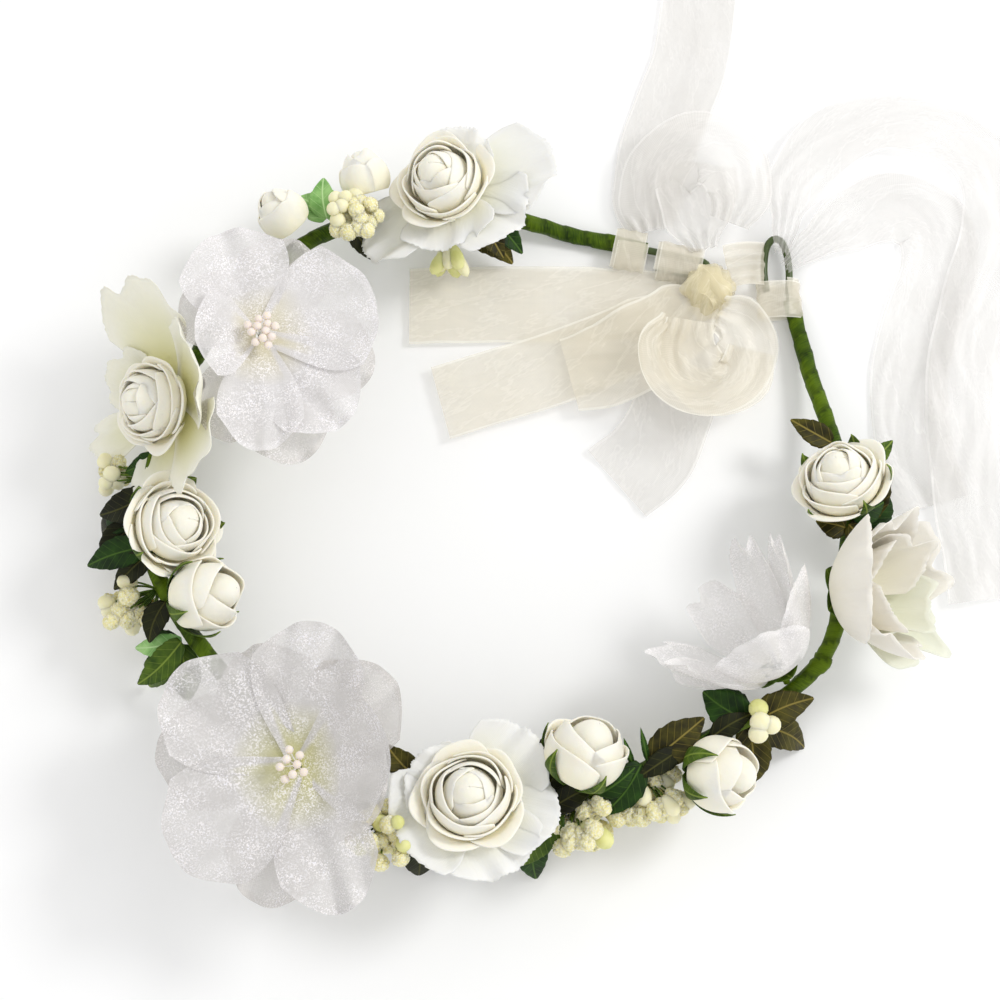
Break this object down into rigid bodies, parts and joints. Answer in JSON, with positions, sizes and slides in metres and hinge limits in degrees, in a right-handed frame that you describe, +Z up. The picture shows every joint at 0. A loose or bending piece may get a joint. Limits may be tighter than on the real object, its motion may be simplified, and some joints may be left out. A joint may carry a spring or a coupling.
{
  "type": "flower crown",
  "caption": "Open head wreath on a taped wire band with foam roses, silk and organza flowers, buds, leaves and a sheer ribbon tie.",
  "frame": {"origin": "middle of the head opening, on the surface that the crown lies on", "axes": "+Z up through the head opening, +Y towards the back of the crown where the band is open, +X towards the right arm"},
  "size_m": [0.2996, 0.3069, 0.0679],
  "materials": {
    "wire": "paper-covered dark green florist's wire, satin",
    "floral_tape": "waxed crepe floral tape, satin",
    "foam": "soft matte foam sheet",
    "white_silk": "woven polyester silk, matte",
    "green_silk": "woven polyester silk, matte, green in the throat",
    "sheer_organza": "sheer organza with fine glitter",
    "calyx": "moulded, matte",
    "buds": "grainy coating, matte",
    "leaf_fabric": "stiffened leaf fabric, satin",
    "organza_ribbon": "sheer organza with satin selvedges"
  },
  "bodies": {
    "band": {"core_wire_main": "wire", "tape_wrap_main": "floral_tape", "left_rose": "foam", "left_rose_calyx": "calyx", "left_bud": "foam", "left_bud_calyx": "calyx", "front_bud": "foam", "front_bud_calyx": "calyx", "corner_bud": "foam", "corner_bud_calyx": "calyx", "top_bud_a": "foam", "top_bud_b": "foam", "buds_top": "buds", "buds_left": "buds", "buds_side": "buds", "buds_front": "buds", "buds_middle": "buds", "buds_right": "buds", "buds_corner": "buds", "buds_inner": "buds", "leaves_top": "leaf_fabric", "leaves_left": "leaf_fabric", "leaves_side": "leaf_fabric", "leaves_front": "leaf_fabric", "leaves_middle": "leaf_fabric", "leaves_corner": "leaf_fabric", "ribbon_knot": "organza_ribbon", "ribbon_loop_upper": "organza_ribbon", "ribbon_loop_lower": "organza_ribbon", "ribbon_tail_left_upper": "organza_ribbon", "ribbon_tail_left_lower": "organza_ribbon", "ribbon_tail_down": "organza_ribbon", "ribbon_tail_up": "organza_ribbon", "ribbon_bridge": "organza_ribbon"},
    "right_arm": {"core_wire_right": "wire", "tape_wrap_right": "floral_tape", "right_rose": "foam", "right_rose_calyx": "calyx", "leaves_arm": "leaf_fabric", "ribbon_streamer_outer": "organza_ribbon", "ribbon_streamer_inner": "organza_ribbon"},
    "silk_right_flower": {"silk_right_calyx": "calyx", "silk_right_petals": "white_silk"},
    "front_sheer_flower": {"front_sheer_stamens": "buds", "front_sheer_petals_upper": "sheer_organza", "front_sheer_petals_under": "sheer_organza"},
    "left_sheer_flower": {"left_sheer_stamens": "buds", "left_sheer_petals_upper": "sheer_organza", "left_sheer_petals_under": "sheer_organza"},
    "silk_left_flower": {"silk_left_calyx": "calyx", "silk_left_petals": "green_silk", "silk_left_rose": "foam"},
    "top_rose_flower": {"top_rose_calyx": "calyx", "top_rose_petals": "white_silk", "top_rose": "foam"},
    "front_rose_flower": {"front_rose_calyx": "calyx", "front_rose_petals": "white_silk", "front_rose": "foam"},
    "side_organza_flower": {"side_organza_calyx": "calyx", "side_organza_petals": "sheer_organza"}
  },
  "joints": [
    {"name": "back_flex", "type": "hinge", "parent": "band", "child": "right_arm", "pos_m": [0.094, -0.048, 0.024], "axis": [0, 0, 1], "range_deg": [-6, 2], "deforming": ["ribbon_bridge"]},
    {"name": "front_sheer_nod", "type": "hinge", "parent": "band", "child": "front_sheer_flower", "pos_m": [-0.0621, -0.0802, 0.0271], "axis": [0.7369, -0.6759, 0], "range_deg": [-6, 6]},
    {"name": "left_sheer_nod", "type": "hinge", "parent": "band", "child": "left_sheer_flower", "pos_m": [-0.0838, 0.0616, 0.0264], "axis": [-0.6231, -0.7821, 0], "range_deg": [-6, 6]},
    {"name": "silk_left_nod", "type": "hinge", "parent": "band", "child": "silk_left_flower", "pos_m": [-0.1037, 0.0303, 0.0271], "axis": [-0.3662, -0.9305, 0], "range_deg": [-6, 6]},
    {"name": "top_rose_nod", "type": "hinge", "parent": "band", "child": "top_rose_flower", "pos_m": [-0.0211, 0.0962, 0.0183], "axis": [-0.9932, -0.1165, 0], "range_deg": [-6, 6]},
    {"name": "front_rose_nod", "type": "hinge", "parent": "band", "child": "front_rose_flower", "pos_m": [-0.0118, -0.0936, 0.0266], "axis": [0.999, 0.045, 0], "range_deg": [-6, 6]},
    {"name": "side_organza_nod", "type": "hinge", "parent": "band", "child": "side_organza_flower", "pos_m": [0.0832, -0.0541, 0.0257], "axis": [0.7852, 0.6192, 0], "range_deg": [-6, 6]},
    {"name": "silk_right_nod", "type": "hinge", "parent": "right_arm", "child": "silk_right_flower", "pos_m": [0.1003, -0.0282, 0.0268], "axis": [0.1892, 0.9819, 0], "range_deg": [-6, 6]}
  ]
}
